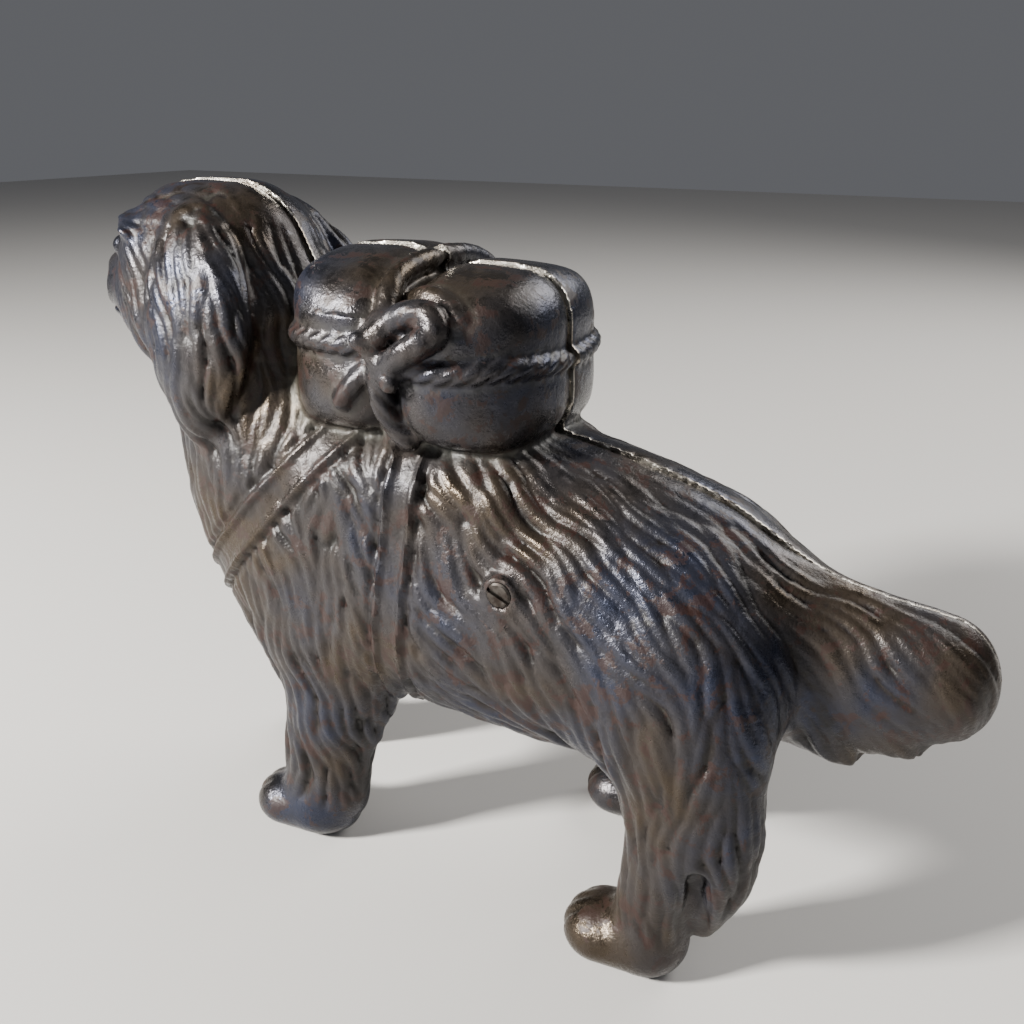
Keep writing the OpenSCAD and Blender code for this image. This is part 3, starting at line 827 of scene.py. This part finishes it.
def hairless(verts, side):
    """How much each vertex is on a paw, the muzzle or the eye."""
    parts = [(strided(paw, walk, side), 2) for paw, walk in PAWS] + [(MUZZLE, 4), ([EYE + (4, 4, 4)], 3)]
    return np.max([mask_of(Swept(rows), verts, reach) for rows, reach in parts], axis=0)


def build_half(name, side, coat):
    """One casting: sculpted, meshed, then carved with locks, straps, rope twist and toes."""
    grid, ropes = sculpt(side)
    verts, quads, flat = half_surface(grid, side)
    normal = vertex_normals(verts, quads)
    off_skin = np.abs(sample(grid.skin, grid.low, CELL, verts))
    outer = np.clip(1.6 - off_skin / 0.9, 0, 1) * (verts[:, 1] > BY_SEAM)
    on_pack = mask_of(pack_distance, verts, 1.2) * outer
    grooves, on_rope = rope_grooves(verts, normal, outer, ropes)
    smooth_parts = np.max([on_pack, on_rope, hairless(verts, side)], axis=0)
    bare = coat_mask(verts, side, outer, smooth_parts)
    height = comb(coat, grid, verts, normal, bare, 5 + side)
    on_strap, rise = strap_relief(verts)
    gaps = bare * (1 - height) * (1 - 0.8 * on_strap * bare)
    move = bare * rise - lock_style(verts)[:, 2] * gaps - grooves - toe_grooves(verts, side) * outer
    verts = verts + normal * move[:, None]
    pinned = flat | (outer < 0.5) | (cylinder(verts[:, 0], verts[:, 2], SCREW_X, SCREW_Z, HEAD_R + 1) < 0)
    if side > 0:
        pinned |= ((np.abs(verts[:, 0] - COIN_X) < COIN_HALF + 1.5)
                   & (np.abs(verts[:, 2] - COIN_Z) < COIN_GAP + 1.5))
    verts = relaxed(verts, quads, pinned, 1, 0.18)
    fields = {"ridge": 1 - gaps - 1.4 * grooves + 0.35 * bare * np.minimum(rise, 0),
              "skin": outer,
              "mating": (verts[:, 1] < BY_SEAM) * 1.0,
              "dust": dust_beside(verts, outer, on_pack, on_rope, ropes)}
    return make_mesh(name, verts, quads, side, fields)


def add_object(name, data):
    obj = bpy.data.objects.new(name, data)
    bpy.context.scene.collection.objects.link(obj)
    return obj


def make_mesh(name, verts, quads, side, fields):
    """Puts a surface in the shared frame, with its fields as attributes."""
    v = (verts - [MID_X, 0, 0]) * [1, side, 1]
    q = quads[:, ::-1] if side < 0 else quads
    mesh = bpy.data.meshes.new(name)
    mesh.vertices.add(len(v))
    mesh.vertices.foreach_set("co", (v * MM).astype(np.float32).ravel())
    mesh.loops.add(q.size)
    mesh.loops.foreach_set("vertex_index", q.astype(np.int32).ravel())
    mesh.polygons.add(len(q))
    mesh.polygons.foreach_set("loop_start", np.arange(0, q.size, 4, dtype=np.int32))
    mesh.update(calc_edges=True)
    mesh.polygons.foreach_set("use_smooth", np.ones(len(q), bool))
    for key, values in fields.items():
        attribute = mesh.attributes.new(key, "FLOAT", "POINT")
        attribute.data.foreach_set("value", values.astype(np.float32))
    mesh.validate()
    mesh.set_sharp_from_angle(angle=math.radians(62))
    return add_object(name, mesh)


# ---- the screw
THREAD_TOP, THREAD_PITCH, THREAD_DEPTH, AROUND = -8.0, 1.1, 0.45, 48
TIP_CHAMFER = 0.35
# The slots across the head and the tip: length, depth both ways and width; and their turn in degrees.
HEAD_SLOT, TIP_SLOT, SLOT_TURN = (2.4 * HEAD_R, 2.4, 1.2), (2.4 * SCREW_R, 1.6, 0.8), 24
# radius and height above the seat of the turned head
HEAD_PROFILE = [(HEAD_R - 0.3, 0.05), (HEAD_R, 0.35), (HEAD_R, 1.4), (HEAD_R - 0.5, 2.0),
                (HEAD_R - 1.8, 2.45), (HEAD_R - 3.4, 2.6)]


def ring(x, y, z, radius_at):
    """A ring round the screw's axis; radius_at takes the share of a turn."""
    spokes = [(radius_at(k / AROUND), 2 * math.pi * k / AROUND) for k in range(AROUND)]
    return [(x + r * math.cos(a), y, z + r * math.sin(a)) for r, a in spokes]


def build_screw():
    """Slotted screw along +Y with a turned thread on its last stretch."""
    x, z = SCREW_X - MID_X, SCREW_Z
    rings = [ring(x, -TIP_Y, z, lambda f: SCREW_R - TIP_CHAMFER), ring(x, -TIP_Y + 0.3, z, lambda f: SCREW_R)]
    for y in np.arange(-TIP_Y + 1.2, SEAT_Y + 0.01, THREAD_PITCH / 8):
        cut = THREAD_DEPTH if y < THREAD_TOP else 0.0
        rings.append(ring(x, y, z, lambda f: SCREW_R - cut * (1 - abs(2 * ((y / THREAD_PITCH + f) % 1) - 1))))
    rings += [ring(x, SEAT_Y + rise, z, lambda f, r=r: r) for r, rise in HEAD_PROFILE]
    verts = [Vector(v) * MM for row in rings for v in row]
    faces = []
    for i in range(len(rings) - 1):
        for k in range(AROUND):
            j = (k + 1) % AROUND
            faces.append((i * AROUND + k, (i + 1) * AROUND + k, (i + 1) * AROUND + j, i * AROUND + j))
    faces.append(tuple(range(AROUND)))
    faces.append(tuple(reversed(range((len(rings) - 1) * AROUND, len(rings) * AROUND))))
    mesh = bpy.data.meshes.new("screw_turned")
    mesh.from_pydata(verts, [], faces)
    mesh.update()
    obj = add_object("screw_turned", mesh)
    cut_slot(obj, SEAT_Y + HEAD_PROFILE[-1][1], HEAD_SLOT)
    cut_slot(obj, -TIP_Y, TIP_SLOT)
    return obj


def cut_slot(obj, y, size):
    """Cuts a slot across the screw at y."""
    bpy.ops.mesh.primitive_cube_add(size=1, location=((SCREW_X - MID_X) * MM, y * MM, SCREW_Z * MM))
    cutter = bpy.context.object
    cutter.scale = [s * MM for s in size]
    cutter.rotation_euler = (0, math.radians(SLOT_TURN), 0)
    boolean = obj.modifiers.new("slot", "BOOLEAN")
    boolean.object = cutter
    boolean.operation = "DIFFERENCE"
    bpy.context.view_layer.update()
    for o in bpy.context.selected_objects:
        o.select_set(False)
    bpy.context.view_layer.objects.active = obj
    obj.select_set(True)
    bpy.ops.object.modifier_apply(modifier="slot")
    bpy.data.objects.remove(cutter)


# ---- materials
class Nodes:
    """Small helper that wires shader nodes."""

    def __init__(self, name):
        self.mat = bpy.data.materials.new(name)
        self.mat.use_nodes = True
        self.tree = self.mat.node_tree
        self.shader = self.tree.nodes["Principled BSDF"]

    def add(self, kind, **settings):
        node = self.tree.nodes.new("ShaderNode" + kind)
        for key, value in settings.items():
            setattr(node, key, value)
        return node

    def link(self, a, b):
        self.tree.links.new(a, b)

    def feed(self, value, socket):
        """Sets a socket to a number or a colour, or links it."""
        if isinstance(value, (int, float)):
            socket.default_value = value
        elif isinstance(value, tuple):
            socket.default_value = value + (1,)
        else:
            self.link(value, socket)

    def attribute(self, name):
        return self.add("Attribute", attribute_name=name).outputs["Fac"]

    def noise(self, scale, detail, rough, distortion=0.0):
        node = self.add("TexNoise")
        self.link(self.add("TexCoord").outputs["Object"], node.inputs["Vector"])
        settings = {"Scale": scale, "Detail": detail, "Roughness": rough, "Distortion": distortion}
        for name, value in settings.items():
            node.inputs[name].default_value = value
        return node.outputs["Fac"]

    def ramp(self, fac, *stops):
        node = self.add("ValToRGB")
        while len(node.color_ramp.elements) < len(stops):
            node.color_ramp.elements.new(0.5)
        for e, (at, colour) in zip(node.color_ramp.elements, stops):
            e.position = at
            e.color = (colour,) * 3 + (1,) if isinstance(colour, (int, float)) else tuple(colour) + (1,)
        self.link(fac, node.inputs[0])
        return node.outputs[0]

    def mix(self, fac, a, b):
        node = self.add("Mix", data_type="RGBA")
        for value, index in ((fac, 0), (a, 6), (b, 7)):
            self.feed(value, node.inputs[index])
        return node.outputs[2]

    def math(self, operation, a, b):
        node = self.add("Math", operation=operation)
        self.feed(a, node.inputs[0])
        self.feed(b, node.inputs[1])
        return node.outputs[0]

    def times(self, a, b):
        return self.math("MULTIPLY", a, b)

    def rest_of(self, a):
        return self.math("SUBTRACT", 1.0, a)

    def bump(self, height, distance, strength, normal=None):
        node = self.add("Bump")
        node.inputs["Distance"].default_value = distance
        node.inputs["Strength"].default_value = strength
        self.link(height, node.inputs["Height"])
        if normal:
            self.link(normal, node.inputs["Normal"])
        return node.outputs[0]


def lacquer_flakes(m):
    """Where flakes of lacquer stay on the iron."""
    return m.times(m.ramp(m.noise(210, 5, 0.7, 0.3), (0.545, 0.0), (0.575, 1.0)), 0.8)


def rubbed_through(m, ridge, flake):
    """How far the lacquer is rubbed off: most on the crests, in patches."""
    patch = m.noise(150, 5, 0.65, 0.5)
    wear = m.math("ADD", m.times(ridge, 0.5), m.times(patch, 0.85))
    return m.times(m.ramp(wear, (0.63, 0.0), (0.98, 1.0)), m.rest_of(flake))


def lacquered_metal_and_painted_sheen(m, wear, flake):
    """Brown black lacquer over gunmetal whose own tone leans to bronze in places, with violet blue patches
    that are a painted sheen, reflected light painted into the colour.
    """
    lacquer = m.ramp(m.noise(60, 4, 0.6), (0.35, (0.004, 0.003, 0.003)), (0.65, (0.009, 0.006, 0.005)))
    lacquer = m.mix(flake, lacquer, (0.018, 0.007, 0.005))
    # the blue stop of this ramp is a painted sheen: reflected light painted on the bare metal in random
    # patches; the grey and bronze stops are the metal's own tone
    worn_metal_and_painted_sheen = m.ramp(m.noise(38, 3, 0.5), (0.36, (0.030, 0.035, 0.056)), (0.48, (0.042, 0.041, 0.046)),
                   (0.62, (0.054, 0.042, 0.031)))
    return m.mix(wear, lacquer, worn_metal_and_painted_sheen)


def settled_dust(m, ridge, skin):
    """Dust in the deepest grooves and beside the ropes."""
    groove = m.ramp(ridge, (0.05, 1.0), (0.40, 0.0))
    speck = m.ramp(m.noise(300, 4, 0.65), (0.40, 0.0), (0.58, 1.0))
    deep = m.times(m.times(m.times(groove, skin), 0.35), speck)
    beside = m.times(m.attribute("dust"), m.math("ADD", m.times(speck, 0.5), 0.25))
    return m.math("MAXIMUM", deep, beside)


def iron_material():
    """Old dark lacquer on iron, rubbed through on the crests, raw inside and bright on the mating face."""
    m = Nodes("worn_lacquered_iron")
    ridge, skin = m.attribute("ridge"), m.attribute("skin")
    flake = lacquer_flakes(m)
    wear = rubbed_through(m, ridge, flake)
    dusty = settled_dust(m, ridge, skin)
    inside = m.ramp(skin, (0.15, 1.0), (0.7, 0.0))
    edge = m.ramp(m.attribute("mating"), (0.3, 0.0), (0.8, 1.0))
    raw = m.ramp(m.noise(90, 5, 0.65), (0.35, (0.050, 0.036, 0.028)), (0.60, (0.105, 0.095, 0.088)))
    bright = m.ramp(m.noise(120, 4, 0.6), (0.3, (0.18, 0.15, 0.12)), (0.6, (0.42, 0.40, 0.36)))
    colour = m.mix(dusty, lacquered_metal_and_painted_sheen(m, wear, flake), (0.055, 0.057, 0.046))
    colour = m.mix(edge, m.mix(inside, colour, raw), bright)
    m.link(colour, m.shader.inputs["Base Color"])
    metallic = m.times(m.times(wear, 0.9), m.rest_of(dusty))
    metallic = m.math("MAXIMUM", m.math("MAXIMUM", metallic, m.times(inside, 0.6)), edge)
    m.link(metallic, m.shader.inputs["Metallic"])
    grain = m.noise(1600, 3, 0.65)
    rough = m.ramp(wear, (0.0, 0.42), (1.0, 0.25))
    for value, share in ((m.math("SUBTRACT", grain, 0.5), 0.2), (dusty, 0.4),
                         (m.math("SUBTRACT", inside, edge), 0.25)):
        rough = m.math("ADD", rough, m.times(value, share))
    m.link(rough, m.shader.inputs["Roughness"])
    normal = m.bump(grain, 0.00012, 0.7, m.bump(m.noise(420, 5, 0.65), 0.00035, 0.6))
    m.link(normal, m.shader.inputs["Normal"])
    m.shader.inputs["Specular IOR Level"].default_value = 0.3
    return m.mat


def steel_material():
    """Dark old steel of the screw."""
    m = Nodes("old_screw_steel")
    m.link(m.ramp(m.noise(500, 4, 0.6), (0.4, (0.024, 0.018, 0.015)), (0.6, (0.075, 0.068, 0.062))),
           m.shader.inputs["Base Color"])
    m.shader.inputs["Metallic"].default_value = 0.9
    m.link(m.ramp(m.noise(900, 3, 0.6), (0.3, 0.35), (0.7, 0.55)), m.shader.inputs["Roughness"])
    return m.mat


def floor_material():
    m = Nodes("pale_floor")
    m.shader.inputs["Base Color"].default_value = (0.50, 0.49, 0.475, 1)
    m.shader.inputs["Roughness"].default_value = 0.7
    return m.mat


# ---- the scene
# The camera: where it stands round its target, in degrees and millimetres, and its lens in millimetres.
AZIMUTH, ELEVATION, ROLL, DISTANCE = math.radians(27.58), math.radians(21.0), math.radians(-0.25), 210.3
TARGET, SENSOR, LENS = Vector((4.44, 0, 77.92)), 36.0, 36.914


def place_camera():
    flat = math.cos(ELEVATION)
    forward = Vector((-math.sin(AZIMUTH) * flat, math.cos(AZIMUTH) * flat, -math.sin(ELEVATION)))
    right = Vector((math.cos(AZIMUTH), math.sin(AZIMUTH), 0))
    turn = Matrix.Rotation(ROLL, 3, forward)
    axes = turn @ right, turn @ right.cross(forward), -forward
    camera = bpy.data.cameras.new("camera")
    camera.sensor_width, camera.lens = SENSOR, LENS
    camera.clip_start, camera.clip_end = 0.01, 20
    obj = add_object("camera", camera)
    place = Matrix.Translation((TARGET - forward * DISTANCE) * MM)
    obj.matrix_world = place @ Matrix(axes).transposed().to_4x4()
    bpy.context.scene.camera = obj


def area_light(name, place, aim, size, power, colour):
    data = bpy.data.lights.new(name, "AREA")
    data.shape = "RECTANGLE"
    data.size, data.size_y = size
    data.energy, data.color = power, colour
    obj = add_object(name, data)
    obj.location = place
    obj.rotation_euler = (Vector(aim) - Vector(place)).to_track_quat("-Z", "Y").to_euler()


def light_scene():
    """A small bright key, a broad faint fill and a rim, in a dim studio: metres and watts."""
    world = bpy.data.worlds.new("studio")
    world.use_nodes = True
    background = world.node_tree.nodes["Background"]
    background.inputs["Color"].default_value = (0.86, 0.88, 0.95, 1)
    background.inputs["Strength"].default_value = 0.14
    bpy.context.scene.world = world
    area_light("key", (-0.52, -0.58, 0.46), (0, 0, 0.07), (0.12, 0.12), 36, (1.0, 0.97, 0.92))
    area_light("fill", (0.35, -0.9, 0.5), (0, 0, 0.06), (0.8, 0.5), 1.2, (0.9, 0.93, 1.0))
    area_light("rim", (0.35, 0.6, 0.6), (0, 0, 0.08), (0.6, 0.5), 8, (1, 0.97, 0.93))


def build_floor():
    bpy.ops.mesh.primitive_plane_add(size=4, location=(0, 0, 0))
    floor = bpy.context.object
    floor.name = "floor"
    floor.data.materials.append(floor_material())


place_camera()
light_scene()
build_floor()
iron = iron_material()
steel = steel_material()
coat = Coat()
for node, side, body, slot_name in (("left_half", -1, "left", "iron_left"),
                                    ("right_half", 1, "right", "iron_right")):
    half = build_half(node + "_casting", side, coat)
    half.data.materials.append(iron)
    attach(half, body)
    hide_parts(node)
screw = build_screw()
screw.data.materials.append(steel)
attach(screw, "fastener")
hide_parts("screw")
